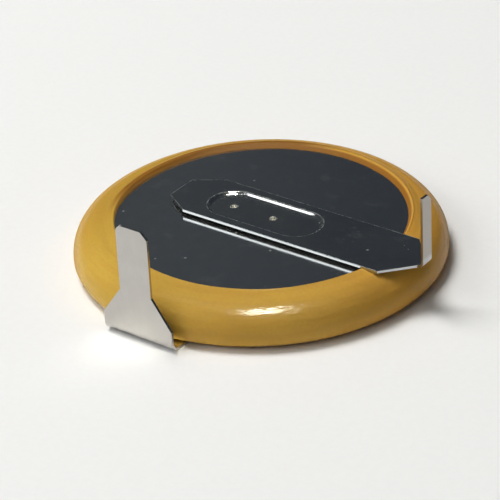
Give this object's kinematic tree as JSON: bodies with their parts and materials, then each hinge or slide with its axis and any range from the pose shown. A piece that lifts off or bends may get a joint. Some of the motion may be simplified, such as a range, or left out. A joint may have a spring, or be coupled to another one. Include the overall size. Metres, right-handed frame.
{
  "type": "lithium coin cell",
  "caption": "Flat round lithium cell in a yellow shrink-on sleeve, with welded solder tabs that end in upright blades a quarter turn apart.",
  "frame": {"origin": "axis of the cell, on the plane of the underside of the positive tab's strip, which is the plane that the cell rests on", "axes": "+Z along the axis of the cell, from the positive pole up to the negative one, which is also the way both blades point; +X towards the blade of the negative tab; -Y towards the blade of the positive tab"},
  "size_m": [0.0209, 0.0209, 0.0066],
  "materials": {
    "can_steel": "nickel-plated steel, drawn, satin",
    "cap_steel": "stainless steel, drawn, satin",
    "gasket_plastic": "moulded polypropylene, natural colour",
    "collector_steel": "punched stainless steel foil",
    "cathode_mass": "pressed manganese dioxide and carbon powder, dull black",
    "separator_fleece": "polypropylene fleece, wet with electrolyte",
    "lithium": "rolled lithium foil, soft and silvery",
    "sleeve_film": "heat-shrunk film, dark yellow, half gloss",
    "tab_steel": "nickel-plated steel strip, bright"
  },
  "bodies": {
    "root": {"positive_can": "can_steel", "negative_cap": "cap_steel", "sealing_gasket": "gasket_plastic", "cathode_collector": "collector_steel", "cathode_pellet": "cathode_mass", "separator": "separator_fleece", "lithium_anode": "lithium", "shrink_sleeve": "sleeve_film", "negative_tab": "tab_steel", "positive_tab": "tab_steel"}
  },
  "joints": []
}
